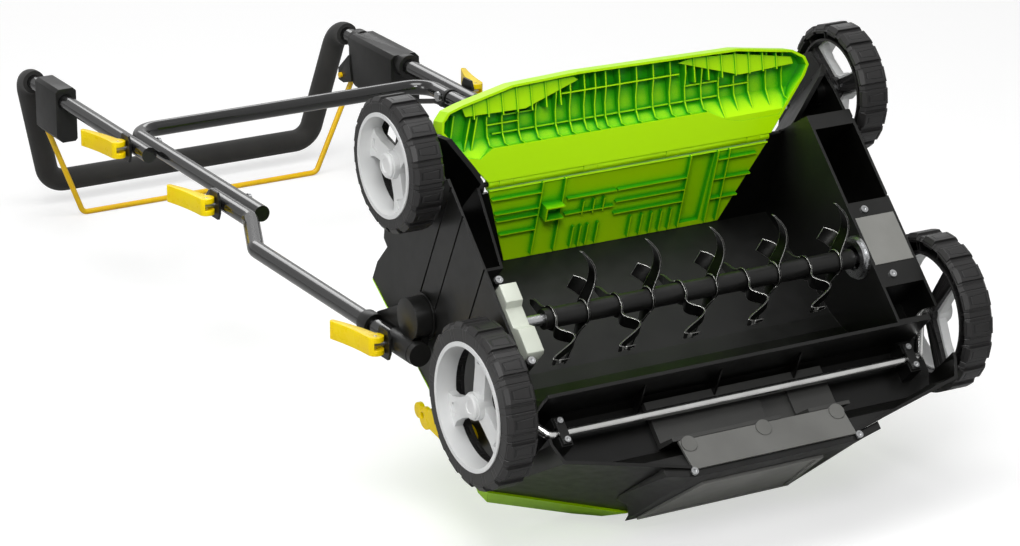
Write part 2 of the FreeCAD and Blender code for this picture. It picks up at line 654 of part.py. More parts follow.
def bracket_arm():
    """Arm that pivots on the deck boss and cups the end of the lower tube."""
    s, h = arm_centre()
    boss = bar_x(22, DECK_HALF + 3.4, LOWER_X + 3, s, h)
    cup = Part.makeCylinder(13, 46, V(LOWER_X, 28, TUBE_LEVEL), V(0, 1, 0))
    clip = Part.makeCylinder(13, 18, V(LOWER_X, 118, TUBE_LEVEL), V(0, 1, 0))
    web = extrude_x([(30, TUBE_LEVEL + 4), (30, h - 8), (s + 16, h + 12), (126, TUBE_LEVEL + 13),
                     (136, TUBE_LEVEL + 4)], DECK_HALF + 3.4, 253)
    arm = boss.fuse([cup, clip, web])
    arm = arm.cut(Part.makeCylinder(TUBE_R + 0.05, 200, V(LOWER_X, 20, TUBE_LEVEL), V(0, 1, 0)))
    arm = arm.cut(bar_x(9.06, 200, LOWER_X - 0.6, s, h))
    arm = arm.cut(bar_x(BOLT_R + 0.05, 200, 300, LOWER_BOLT, TUBE_LEVEL))
    return arm


def lower_tube():
    path = [V(LOWER_X, 28, TUBE_LEVEL), V(LOWER_X, 399, TUBE_LEVEL), V(OUTER_X, 493, TUBE_LEVEL),
            V(OUTER_X, 591, TUBE_LEVEL)]
    body = tube(path, 26)
    body = body.cut(bar_x(BOLT_R + 0.05, 240, 280, LOWER_BOLT, TUBE_LEVEL))
    return body.cut(bar_x(BOLT_R + 0.05, 205, 235, MIDDLE_BOLT, TUBE_LEVEL))


def lower_tube_caps():
    start = V(LOWER_X, 28, TUBE_LEVEL)
    head = Part.makeCylinder(12.5, 8, start - V(0, 8, 0), V(0, 1, 0))
    plug = Part.makeCylinder(TUBE_R - TUBE_WALL - 0.05, 12, start, V(0, 1, 0))
    return both_sides(head.fuse(plug))


def middle_frame():
    half = [V(INNER_X, 505, TUBE_LEVEL), V(INNER_X, 858, TUBE_LEVEL)]
    path = half + [V(-p.x, p.y, p.z) for p in reversed(half)]
    body = tube(path, 30)
    plug = Part.makeCylinder(TUBE_R - TUBE_WALL, 10, V(INNER_X, 505, TUBE_LEVEL), V(0, 1, 0))
    body = body.fuse([plug, mirrored(plug)])
    for bolt in (MIDDLE_BOLT, UPPER_BOLT):
        body = body.cut(bar_x(BOLT_R + 0.05, -240, 240, bolt, TUBE_LEVEL))
    return body


def grip_path():
    half = [V(OUTER_X, 1111, TUBE_LEVEL), V(OUTER_X, 1138, TUBE_LEVEL), V(185, GRIP_Y, GRIP_LEVEL)]
    return half + [V(-p.x, p.y, p.z) for p in reversed(half)]


def grip_tube():
    ends = [V(OUTER_X, 765, TUBE_LEVEL)] + grip_path()[1:-1] + [V(-OUTER_X, 765, TUBE_LEVEL)]
    body = tube(ends, 26)
    plug = Part.makeCylinder(TUBE_R - TUBE_WALL, 10, V(OUTER_X, 765, TUBE_LEVEL), V(0, 1, 0))
    body = body.fuse([plug, mirrored(plug)])
    return body.cut(bar_x(BOLT_R + 0.05, -240, 240, UPPER_BOLT, TUBE_LEVEL))


def foam_grip():
    return rod(grip_path(), FOAM_R, 26).cut(rod(grip_path(), TUBE_R + 0.05, 26))


def cable(corners):
    """Black lead along the right tubes; each stretch folds with its own part of the handle."""
    return rod([V(*corner) for corner in corners], CABLE_R, 60)


def cable_upper():
    return cable([(213, 936.8, -284), (213, 905, -284), (207.5, 872, -274.28)])


def cable_middle():
    return cable([(207.5, 872, -274.28), (INNER_X, 830, CABLE_LEVEL), (INNER_X, 640, CABLE_LEVEL)])


def cable_lower():
    return cable([(INNER_X, 640, CABLE_LEVEL), (INNER_X, 622, CABLE_LEVEL), (OUTER_X, 584, CABLE_LEVEL),
                  (OUTER_X, 493, CABLE_LEVEL), (LOWER_X, 399, CABLE_LEVEL), (LOWER_X, 270, CABLE_LEVEL),
                  (246.9, 222, -262.5), (246.9, 137.3, -239.7)])


def bail():
    s, h = BAIL_PIVOT
    half = [V(196, s, h), V(219, s, h), V(166, *BAIL_BAR)]
    return rod(half + [V(-p.x, p.y, p.z) for p in reversed(half)], BAIL_R, 9)


def bail_lug():
    s, h = BAIL_PIVOT
    lug = extrude_x([(1066, -262), (s + 8, h + 8), (s + 8, h - 8), (s - 6, h - 9), (1058, -296)], 199, 212)
    lug = lug.cut(box(205.6, 230, s - 8, s + 20, h - 20, h + 20))
    return lug.cut(bar_x(BAIL_R + 0.06, 190, 230, s, h))


def bail_bracket():
    """Clamp block on the left tube, with the lug that the bail turns in."""
    outline = [(206, -235), (210, -231), (229, -231), (233.5, -235), (233.5, -292), (226, -300), (209, -300),
               (206, -297)]
    block = extrude_y(outline, 1012, 1076)
    block = block.cut(Part.makeCylinder(TUBE_R + 0.05, 100, V(OUTER_X, 1000, TUBE_LEVEL), V(0, 1, 0)))
    return mirrored(block.fuse(bail_lug()))


def switch_box():
    outline = [(201, -240), (206, -235), (236, -235), (242, -241), (242, -298), (236, -306), (207, -306),
               (201, -300)]
    case = extrude_y(outline, 952, 1068)
    shoulder = extrude_x([(1040, -306.5), (1072, -306.5), (1072, -290)], 195, 250)
    case = case.cut(shoulder)
    collars = [Part.makeCylinder(15, 14, V(OUTER_X, y, TUBE_LEVEL), V(0, 1, 0)) for y in (938, 1066)]
    gland = Part.makeCylinder(6, 16, V(213, 937, -284), V(0, 1, 0))
    case = fused([case, gland] + collars)
    case = case.fuse(bail_lug())
    case = case.cut(Part.makeCylinder(TUBE_R + 0.05, 200, V(OUTER_X, 900, TUBE_LEVEL), V(0, 1, 0)))
    return case.cut(bar_x(6.3, 231.5, 250, 1020, -270))


def lock_button():
    return revolve_x([(0, 0), (0, 6.2), (6.5, 6.2), (8, 5), (8, 0)]).translated(V(237, 1020, -270))


def cam_lever(x, s):
    """Quick-release lever: round cam on its pin and a curved thumb blade along the tube."""
    arcs = [((9, 0), (0, -9), (-9, 0)), ((-9, 0), (-7.6, 4.8), (-4, 8.06)), ((-4, 8.06), (2.5, 32), (14, 62)),
            ((14, 62), (18.5, 64.5), (20, 60)), ((20, 60), (12.5, 28), (9, 0))]
    edges = [Part.Arc(*[V(a, b, 0) for a, b in arc]).toShape() for arc in arcs]
    blade = Part.Face(Part.Wire(edges)).extrude(V(0, 0, 20))
    blade.translate(V(x + 9.1, s, TUBE_LEVEL - 10))
    slot = box(x - 1, x + 14, s - 10, s + 4.6, TUBE_LEVEL - 4, TUBE_LEVEL + 4)
    pin = Part.makeCylinder(2.1, 30, V(x + 9.1, s, TUBE_LEVEL - 15), V(0, 0, 1))
    return blade.cut(slot).cut(pin)


def cam_washer(x, s):
    outline = [(s - 9, TUBE_LEVEL - 16), (s + 9, TUBE_LEVEL - 16), (s + 13, TUBE_LEVEL - 8), (s + 13, TUBE_LEVEL + 8),
               (s + 9, TUBE_LEVEL + 16), (s - 9, TUBE_LEVEL + 16), (s - 13, TUBE_LEVEL + 8),
               (s - 13, TUBE_LEVEL - 8)]
    plate = extrude_x(outline, x - 3, x - 0.05)
    return plate.cut(bar_x(BOLT_R + 0.05, x - 10, x + 10, s, TUBE_LEVEL))


def cam_bolt(x_inner, x, s):
    shank = bar_x(BOLT_R, x_inner, x + 12, s, TUBE_LEVEL)
    head = bar_x(6, x_inner - 3, x_inner, s, TUBE_LEVEL)
    pin = Part.makeCylinder(2.0, 19, V(x + 9.1, s, TUBE_LEVEL - 9.5), V(0, 0, 1))
    return fused([shank, head, pin])


# ---- build everything ----
def place(shape, upright):
    shape = shape.copy()
    if upright:
        shape.rotate(V(0, 0, 0), X_AXIS, -TIP_ANGLE)
    shape.translate(V(0, -ROW_MIDDLE, FLOOR_DROP))
    return shape


def deck_nodes():
    nodes = {"chassis": chassis(), "hood": hood(), "chute_panel": chute_panel(), "nose_bumper": nose_bumper(),
             "nose_panel": nose_panel(), "front_cover": front_cover(), "inner_tray": inner_tray(),
             "belt_cover": belt_cover(), "bearing_ring": bearing_ring(), "bearing_block": bearing_block(),
             "deck_screws": deck_screws(), "axle_clamps": axle_clamps(), "motor": motor(),
             "rear_stub_axles": rear_stub_axles(), "rotor_shaft": rotor_shaft(),
             "rotor_spacers": rotor_spacers(), "rotor_knives": rotor_knives(), "rear_flap": rear_flap(),
             "flap_pins": flap_pins(), "front_axle": front_axle(), "height_lever": height_lever()}
    wheels = (("rear_left", -1, REAR_FACE, REAR_WHEEL_R, (0, REAR_WHEEL_R), 28),
              ("rear_right", 1, REAR_FACE, REAR_WHEEL_R, (0, REAR_WHEEL_R), 50),
              ("front_left", -1, FRONT_FACE, FRONT_WHEEL_R, FRONT_HUB, -7),
              ("front_right", 1, FRONT_FACE, FRONT_WHEEL_R, FRONT_HUB, 20))
    for name, side, face, radius, (y, z), angle in wheels:
        nodes["tyre_" + name] = place_wheel(tyre(radius, angle), side, face, y, z)
        nodes["rim_" + name] = place_wheel(rim(radius, angle), side, face, y, z)
        nodes["hub_cap_" + name] = place_wheel(hub_cap(), side, face, y, z)
    return nodes


def handle_nodes():
    nodes = {"bracket_arm_right": bracket_arm(), "bracket_arm_left": mirrored(bracket_arm()),
             "lower_tube_right": lower_tube(), "lower_tube_left": mirrored(lower_tube()),
             "lower_tube_caps": lower_tube_caps(), "middle_frame": middle_frame(), "grip_tube": grip_tube(),
             "foam_grip": foam_grip(), "bail": bail(), "bail_bracket": bail_bracket(),
             "switch_box": switch_box(), "lock_button": lock_button(), "cable_upper": cable_upper(),
             "cable_middle": cable_middle(), "cable_lower": cable_lower()}
    clamps = (("lower", LOWER_X - 15, LOWER_X + 16.2, LOWER_BOLT),
              ("middle", INNER_X - 10, OUTER_X + 13, MIDDLE_BOLT),
              ("upper", INNER_X - 10, OUTER_X + 13, UPPER_BOLT))
    for name, inner, outer, s in clamps:
        nodes["cam_lever_%s_right" % name] = cam_lever(outer, s)
        nodes["cam_lever_%s_left" % name] = mirrored(cam_lever(outer, s))
        nodes["cam_washers_" + name] = both_sides(cam_washer(outer, s))
        nodes["cam_bolts_" + name] = both_sides(cam_bolt(inner, outer, s))
    return nodes


def main():
    built = [(name, shape, True) for name, shape in deck_nodes().items()]
    built += [(name, shape, False) for name, shape in handle_nodes().items()]
    limits = None
    for name, shape, upright in built:
        placed = place(shape, upright)
        placed.exportStep("parts/" + name + ".step")
        limits = placed.BoundBox if limits is None else limits.united(placed.BoundBox)
        good = "ok" if placed.isValid() else "INVALID"
        print("%-26s %3d solids %10.0f mm3 %s" % (name, len(placed.Solids), placed.Volume, good))
    print("x %.2f %.2f  y %.2f %.2f  z %.2f %.2f" % (limits.XMin, limits.XMax, limits.YMin, limits.YMax,
                                                   limits.ZMin, limits.ZMax))


main()
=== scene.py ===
import json
import math

import bpy
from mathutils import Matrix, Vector

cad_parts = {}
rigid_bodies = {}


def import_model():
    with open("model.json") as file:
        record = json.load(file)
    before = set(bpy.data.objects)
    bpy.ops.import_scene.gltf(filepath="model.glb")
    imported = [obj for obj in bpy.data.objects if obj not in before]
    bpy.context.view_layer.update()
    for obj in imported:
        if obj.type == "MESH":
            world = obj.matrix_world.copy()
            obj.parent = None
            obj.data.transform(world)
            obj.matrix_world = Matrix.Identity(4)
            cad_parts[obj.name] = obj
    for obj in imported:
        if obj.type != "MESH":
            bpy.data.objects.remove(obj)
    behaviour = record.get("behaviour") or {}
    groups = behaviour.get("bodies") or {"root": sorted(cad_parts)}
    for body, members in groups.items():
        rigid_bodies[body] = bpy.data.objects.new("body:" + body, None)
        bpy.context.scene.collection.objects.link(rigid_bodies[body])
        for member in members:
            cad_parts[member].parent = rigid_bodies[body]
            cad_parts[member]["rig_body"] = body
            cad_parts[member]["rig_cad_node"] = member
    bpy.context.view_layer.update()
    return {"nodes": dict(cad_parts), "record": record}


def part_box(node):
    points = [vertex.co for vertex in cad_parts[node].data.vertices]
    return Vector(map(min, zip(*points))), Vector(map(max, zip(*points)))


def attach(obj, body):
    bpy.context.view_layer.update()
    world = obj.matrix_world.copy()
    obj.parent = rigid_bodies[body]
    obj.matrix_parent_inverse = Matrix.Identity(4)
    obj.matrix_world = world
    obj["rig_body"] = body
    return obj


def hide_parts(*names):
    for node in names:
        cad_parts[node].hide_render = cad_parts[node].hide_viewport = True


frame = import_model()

MM = 0.001

# ---- camera: a long lens, low in front of the left wheels ----
LENS_MM = 136.3
CAMERA_AZIMUTH = math.radians(-29.64)
CAMERA_ELEVATION = math.radians(19.5)
CAMERA_DISTANCE = 4.284
CAMERA_AIM = Vector((0.0, -0.169, 0.1404))
CAMERA_SIGHT = 100.0  # how far it sees

# ---- studio: a white paper floor, a pale sky and four softboxes ----
FLOOR_SPAN = 60.0
PAPER_GREY = 0.5  # what the floor reflects
PAPER_GLOW = 0.6  # what only the camera sees on top of it
SKY_LIGHT = 0.16
SKY_WHITE = 1.0
SKY_MIRRORED = 0.5  # share of the white sky that glossy surfaces mirror
# name, place, aim, width and height in metres, watts
SOFTBOXES = (
    ("top_softbox", (-0.4, -0.7, 3.0), (0, -0.2, 0.2), (2.2, 1.8), 62),
    ("key_softbox", (-1.6, -3.2, 2.7), (0, -0.4, 0.2), (1.4, 1.0), 62),
    ("left_softbox", (-3.4, -0.6, 1.2), (0, -0.3, 0.2), (1.2, 1.6), 26),
    ("back_softbox", (1.2, 3.2, 2.2), (0, 0.0, 0.2), (3.0, 1.0), 26),
)

# ---- finishes: what several of them share ----
PLASTIC_IOR = 1.49
PIGMENT_CLOUD_MM = 45.0  # slow change of the pigment over a moulding
SCUFF_MM = 14.0  # patches that handling leaves duller or glossier
PAINTED_SHADE_REACH = 120.0 * MM  # depth at which the painted shade inside a housing is at its darkest
RIB_SHADE_REACH = 26.0 * MM  # depth at which the painted shade in a pocket between the lime ribs is at its darkest
OCCLUSION_SAMPLES = 8
EDGE_SAMPLES = 4

# ---- tread of the tyres: blocks round the axle, the first on the deck's own upward axis ----
TREAD_BLOCKS = 18
DECK_UP_Y, DECK_UP_Z = 0.7016, -0.7126
TREAD_START = math.atan2(DECK_UP_Y, DECK_UP_Z)
# Along the tread in shares of one block's pitch, and across it in shares of half the tyre's width:
OUTLINE_REACH = 0.19
OUTLINE_TAPER = 0.045
OUTLINE_SPREAD = 0.66
SEAM_PLACE = 0.38
GRAIN_SHARE = 0.04

# ---- rolled edges of the moulded housings and levers, in millimetres ----
ROUNDED = {
    "switch_box": 3.0, "bail_bracket": 2.6, "bracket_arm_left": 2.0, "bracket_arm_right": 2.0,
    "bearing_block": 1.6, "height_lever": 1.2, "nose_bumper": 2.0,
    **{f"cam_lever_{row}_{side}": 2.2 for row in ("lower", "middle", "upper")
       for side in ("left", "right")},
}
CORNER = math.radians(38)  # edges sharper than this are corners
NEARLY_FLAT = math.radians(0.5)
WELD = 0.01 * MM
ROLL_SEGMENTS = 3

# ---- ties that hold the lead on the tubes ----
TUBE_RADIUS = 9.5 * MM
TIE_WIDTH = 4.6 * MM
TIE_ROOM = 0.4 * MM  # between the tube and the strap
TIE_THICKNESS = 1.3 * MM
TIE_SAG = 7.6 * MM  # how far the loop reaches below the tube, round the lead
TIE_PINCH = 0.18  # how much narrower it is down there
TIE_ROUND = 0.25  # share of the tube's radius below its middle where the sag starts
TIE_SIDES = 40
LOCK_SIZE = (5.0 * MM, TIE_WIDTH + 1.6 * MM, 6.5 * MM)
LOCK_OUT = 2.6 * MM
LOCK_DOWN = 6 * MM
TIE_EDGE = 0.35 * MM
# name, stretch of the lead, share of the stretch at which it sits
TIES = (
    ("tie_middle_far", "cable_middle", 0.65), ("tie_middle_near", "cable_middle", 0.26),
    ("tie_lower_far", "cable_lower", 0.47), ("tie_lower_near", "cable_lower", 0.31),
)
TUBE_BESIDE = {"cable_middle": "middle_frame", "cable_lower": "lower_tube_right"}

# ---- sleeves of the flap round its hinge pin, between its knuckles ----
SLEEVE_RADIUS = 4.9 * MM
PIN_ROOM = 2.7 * MM
SLEEVE_SIDES = 32
SLEEVE_EDGE = 0.5 * MM
SLEEVE_CORNER = math.radians(30)
KNUCKLE_MIDDLES_MM = (-150, -50, 50, 150)
KNUCKLE_HALF_MM = 8.3
HINGE_HALF_MM = 170.0

# ---- modifiers ----
OUTWARDS, INWARDS = 1.0, -1.0  # the side on which Solidify adds a wall
EDGE_SEGMENTS = 2


# ---- colours and nodes ----
def srgb(code):
    """Linear colour of a six-figure hex code."""
    channels = [int(code[i:i + 2], 16) / 255 for i in (0, 2, 4)]
    return tuple(c / 12.92 if c <= 0.04045 else ((c + 0.055) / 1.055) ** 2.4
                 for c in channels) + (1.0,)


def grey(value):
    return (value, value, value, 1.0)


def pitch(size_mm):
    """Scale at which the blobs of a pattern are size_mm across."""
    return 1.0 / (size_mm * MM)


def add(tree, kind, inputs=None, stops=(), **settings):
    """Adds one node, with its settings, values, links and the stops of its colour ramp.

    An input that is given a node is linked to the first output that this node has in use."""
    node = tree.nodes.new(kind)
    for name, value in settings.items():
        setattr(node, name, value)
    for name, value in (inputs or {}).items():
        if isinstance(value, bpy.types.Node):
            value = next(socket for socket in value.outputs if socket.enabled)
        if isinstance(value, bpy.types.NodeSocket):
            tree.links.new(value, node.inputs[name])
        else:
            node.inputs[name].default_value = value
    elements = node.color_ramp.elements if stops else ()
    while len(elements) < len(stops):
        elements.new(position=0.5)
    for element, (position, colour) in zip(elements, stops):
        element.position = position
        element.color = colour
    return node


def blank_material(name):
    material = bpy.data.materials.new(name)
    material.use_nodes = True
    material.node_tree.nodes.clear()
    return material, material.node_tree


# ---- finishes ----
# Noise runs from about 0.3 to 0.75, so the ramps on it start and end there. The grain of a mould is
# a few tenths of a millimetre and wouldn't show, so it is drawn 1.4 to 3 mm across.
def moulded_plastic(name, colour, shade, roughness, grain_mm=1.6, depth_mm=0.02, gleam=0.5,
                    painted_cavity_shade=None):
    """Injection-moulded plastic: an even pigment, a spark-eroded grain that breaks up the gloss,
    patches that handling has changed, and small mould radii that catch the light.

    A painted shade colour is what the pigment is painted down to deep inside a housing, where
    ambient occlusion finds shade."""
    material, tree = blank_material(name)
    place = add(tree, "ShaderNodeTexCoord").outputs["Object"]
    cloud = add(tree, "ShaderNodeTexNoise",
                {"Vector": place, "Scale": pitch(PIGMENT_CLOUD_MM), "Detail": 3.0})
    tint = add(tree, "ShaderNodeValToRGB", {"Fac": cloud},
               stops=[(0.3, srgb(shade)), (0.7, srgb(colour))])
    if painted_cavity_shade:
        # Painted shade: ambient occlusion mixes the pigment towards the painted shade colour inside
        # a housing.
        depth = add(tree, "ShaderNodeAmbientOcclusion", {"Distance": PAINTED_SHADE_REACH},
                    samples=OCCLUSION_SAMPLES, only_local=True).outputs["AO"]
        painted_shade_mask = add(tree, "ShaderNodeValToRGB", {"Fac": depth},
                       stops=[(0.62, grey(0.0)), (0.98, grey(1.0))])
        tint = add(tree, "ShaderNodeMix", {"Factor": painted_shade_mask, "A": srgb(painted_cavity_shade), "B": tint},
                   data_type="RGBA")
    scuffs = add(tree, "ShaderNodeTexNoise",
                 {"Vector": place, "Scale": pitch(SCUFF_MM), "Detail": 5.0})
    wear = 0.04
    gloss = add(tree, "ShaderNodeValToRGB", {"Fac": scuffs},
                stops=[(0.35, grey(roughness - wear)), (0.7, grey(roughness + wear))])
    grain = add(tree, "ShaderNodeTexNoise",
                {"Vector": place, "Scale": pitch(grain_mm), "Detail": 2.0})
    rounded = add(tree, "ShaderNodeBevel", {"Radius": 0.7 * MM}, samples=EDGE_SAMPLES)
    bump = add(tree, "ShaderNodeBump",
               {"Height": grain, "Distance": depth_mm * MM, "Strength": 0.6, "Normal": rounded})
    shader = add(tree, "ShaderNodeBsdfPrincipled",
                 {"Base Color": tint, "Roughness": gloss, "Normal": bump, "IOR": PLASTIC_IOR,
                  "Specular IOR Level": gleam})
    add(tree, "ShaderNodeOutputMaterial", {"Surface": shader})
    return material


def lime_polypropylene():
    """Glossy lime polypropylene with painted shade: it is painted deeper and greener in the pockets
    between ribs, where light reaches it only off other walls. Polished moulds leave hardly any
    grain on it."""
    material, tree = blank_material("polypropylene_lime")
    place = add(tree, "ShaderNodeTexCoord").outputs["Object"]
    rib_occlusion = add(tree, "ShaderNodeAmbientOcclusion", {"Distance": RIB_SHADE_REACH},
                 samples=OCCLUSION_SAMPLES, only_local=True).outputs["AO"]
    # Painted shade: deep green in closed pockets, bright lime on open faces.
    tint = add(tree, "ShaderNodeValToRGB", {"Fac": rib_occlusion},
               stops=[(0.3, srgb("22A00A")), (0.62, srgb("45BE0C")), (0.86, srgb("A6F000")),
                      (1.0, srgb("BEFA00"))])
    scuffs = add(tree, "ShaderNodeTexNoise",
                 {"Vector": place, "Scale": pitch(SCUFF_MM), "Detail": 5.0})
    gloss = add(tree, "ShaderNodeValToRGB", {"Fac": scuffs},
                stops=[(0.35, grey(0.28)), (0.7, grey(0.3))])
    grain = add(tree, "ShaderNodeTexNoise", {"Vector": place, "Scale": pitch(1.8), "Detail": 2.0})
    rounded = add(tree, "ShaderNodeBevel", {"Radius": 0.6 * MM}, samples=EDGE_SAMPLES)
    bump = add(tree, "ShaderNodeBump",
               {"Height": grain, "Distance": 0.004 * MM, "Strength": 0.3, "Normal": rounded})
    shader = add(tree, "ShaderNodeBsdfPrincipled",
                 {"Base Color": tint, "Roughness": gloss, "Normal": bump, "IOR": PLASTIC_IOR,
                  "Specular IOR Level": 0.3})
    add(tree, "ShaderNodeOutputMaterial", {"Surface": shader})
    return material


def tread_plastic(wheel):
    """Tyre of one wheel: matt black polypropylene. A dark groove outlines every tread block, with a
    fine seam at either end of it.

    Along is 0 in the middle of a block and 0.5 half-way to the next, and across runs from -1 to 1
    over the tyre's width."""
    material, tree = blank_material("polypropylene_tyre_" + wheel)
    low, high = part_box("tyre_" + wheel)
    centre = [(a + b) / 2 for a, b in zip(low, high)]
    half_width = (high[0] - low[0]) / 2
    place = add(tree, "ShaderNodeTexCoord").outputs["Object"]
    local = add(tree, "ShaderNodeMapping", {"Vector": place, "Location": [-c for c in centre]})
    axes = add(tree, "ShaderNodeSeparateXYZ", {"Vector": local}).outputs

    per_turn = TREAD_BLOCKS / math.tau
    angle = add(tree, "ShaderNodeMath", {0: axes["Y"], 1: axes["Z"]}, operation="ARCTAN2")
    blocks = add(tree, "ShaderNodeMath", {0: angle, 1: per_turn}, operation="MULTIPLY")
    first_end = TREAD_START * TREAD_BLOCKS / math.tau - 0.5
    passed = add(tree, "ShaderNodeMath", {0: blocks, 1: first_end}, operation="SUBTRACT")
    within = add(tree, "ShaderNodeMath", {0: passed}, operation="FRACT")
    from_middle = add(tree, "ShaderNodeMath", {0: within, 1: 0.5}, operation="SUBTRACT")
    along = add(tree, "ShaderNodeMath", {0: from_middle}, operation="ABSOLUTE")
    across = add(tree, "ShaderNodeMath", {0: axes["X"], 1: half_width}, operation="DIVIDE")

    reach = add(tree, "ShaderNodeMath", {0: across, 1: OUTLINE_TAPER, 2: OUTLINE_REACH},
                operation="MULTIPLY_ADD")
    lengthwise = add(tree, "ShaderNodeMath", {0: along, 1: reach}, operation="DIVIDE")
    sideways = add(tree, "ShaderNodeMath", {0: across}, operation="ABSOLUTE")
    sideways = add(tree, "ShaderNodeMath", {0: sideways, 1: OUTLINE_SPREAD}, operation="DIVIDE")
    ring = add(tree, "ShaderNodeMath", {0: lengthwise, 1: sideways}, operation="MAXIMUM")
    outline = add(tree, "ShaderNodeValToRGB", {"Fac": ring},
                  stops=[(0.74, grey(1.0)), (0.8, grey(0.0)), (0.92, grey(0.0)),
                         (0.98, grey(1.0))])
    from_seam = add(tree, "ShaderNodeMath", {0: along, 1: SEAM_PLACE}, operation="SUBTRACT")
    from_seam = add(tree, "ShaderNodeMath", {0: from_seam}, operation="ABSOLUTE")
    seam = add(tree, "ShaderNodeValToRGB", {"Fac": from_seam},
               stops=[(0.012, grey(0.0)), (0.03, grey(1.0))])

    relief = add(tree, "ShaderNodeMath", {0: outline, 1: seam}, operation="MULTIPLY")
    grain = add(tree, "ShaderNodeTexNoise", {"Vector": place, "Scale": pitch(1.4), "Detail": 2.0})
    relief = add(tree, "ShaderNodeMath", {0: grain, 1: GRAIN_SHARE, 2: relief},
                 operation="MULTIPLY_ADD")
    rounded = add(tree, "ShaderNodeBevel", {"Radius": 0.8 * MM}, samples=EDGE_SAMPLES)
    bump = add(tree, "ShaderNodeBump",
               {"Height": relief, "Distance": 0.9 * MM, "Strength": 0.8, "Normal": rounded})
    tint = add(tree, "ShaderNodeValToRGB", {"Fac": outline},
               stops=[(0.0, srgb("0C0C0C")), (1.0, srgb("201F1F"))])
    shader = add(tree, "ShaderNodeBsdfPrincipled",
                 {"Base Color": tint, "Roughness": 0.4, "Normal": bump, "IOR": PLASTIC_IOR})
    add(tree, "ShaderNodeOutputMaterial", {"Surface": shader})
    return material


def plated_steel(name, colour, shade, roughness, line_mm=0.9):
    """Plated or bright-drawn steel: mirrors the studio, with faint drawing lines along X and a
    little dulling. The lines are drawn 0.7 to 0.9 mm apart, far coarser than real ones, to show."""
    material, tree = blank_material(name)
    place = add(tree, "ShaderNodeTexCoord").outputs["Object"]
    stretched = add(tree, "ShaderNodeMapping", {"Vector": place, "Scale": (0.03, 1.0, 1.0)})
    lines = add(tree, "ShaderNodeTexNoise",
                {"Vector": stretched, "Scale": pitch(line_mm), "Detail": 2.0})
    dull = add(tree, "ShaderNodeTexNoise", {"Vector": place, "Scale": pitch(30.0), "Detail": 3.0})
    tint = add(tree, "ShaderNodeValToRGB", {"Fac": dull},
               stops=[(0.3, srgb(shade)), (0.65, srgb(colour))])
    gloss = add(tree, "ShaderNodeValToRGB", {"Fac": lines},
                stops=[(0.3, grey(roughness - 0.03)), (0.75, grey(roughness + 0.05))])
    bump = add(tree, "ShaderNodeBump", {"Height": lines, "Distance": 0.004 * MM, "Strength": 0.4})
    shader = add(tree, "ShaderNodeBsdfPrincipled",
                 {"Base Color": tint, "Roughness": gloss, "Normal": bump, "Metallic": 1.0})
    add(tree, "ShaderNodeOutputMaterial", {"Surface": shader})
    return material


def coated_steel(name, colour, shade, roughness, coat):
    """Powder-coated steel: smooth glossy paint, whose soft orange peel, 5 mm from dimple to dimple,
    makes the highlights waver."""
    material, tree = blank_material(name)
    place = add(tree, "ShaderNodeTexCoord").outputs["Object"]
    cloud = add(tree, "ShaderNodeTexNoise", {"Vector": place, "Scale": pitch(60.0), "Detail": 2.0})
    tint = add(tree, "ShaderNodeValToRGB", {"Fac": cloud},
               stops=[(0.3, srgb(shade)), (0.7, srgb(colour))])
    peel = add(tree, "ShaderNodeTexNoise", {"Vector": place, "Scale": pitch(5.0), "Detail": 1.0})
    bump = add(tree, "ShaderNodeBump", {"Height": peel, "Distance": 0.05 * MM, "Strength": 0.35})
    shader = add(tree, "ShaderNodeBsdfPrincipled",
                 {"Base Color": tint, "Roughness": roughness, "Normal": bump,
                  "Coat Weight": coat, "Coat Roughness": 0.08})
    add(tree, "ShaderNodeOutputMaterial", {"Surface": shader})
    return material


def eva_foam():
    """Closed-cell EVA foam sleeve: matt and dark, with open pores in its skin. The pores are drawn
    2.2 mm across, coarser than real ones, to show."""
    material, tree = blank_material("eva_foam")
    place = add(tree, "ShaderNodeTexCoord").outputs["Object"]
    pores = add(tree, "ShaderNodeTexVoronoi", {"Vector": place, "Scale": pitch(2.2)})
    cloud = add(tree, "ShaderNodeTexNoise", {"Vector": place, "Scale": pitch(30.0), "Detail": 4.0})
    tint = add(tree, "ShaderNodeValToRGB", {"Fac": cloud},
               stops=[(0.3, srgb("131211")), (0.75, srgb("1F1E1C"))])
    bump = add(tree, "ShaderNodeBump", {"Height": pores, "Distance": 0.25 * MM, "Strength": 0.5})
    shader = add(tree, "ShaderNodeBsdfPrincipled",
                 {"Base Color": tint, "Roughness": 0.82, "Normal": bump,
                  "Sheen Weight": 0.12, "Sheen Roughness": 0.6})
    add(tree, "ShaderNodeOutputMaterial", {"Surface": shader})
    return material


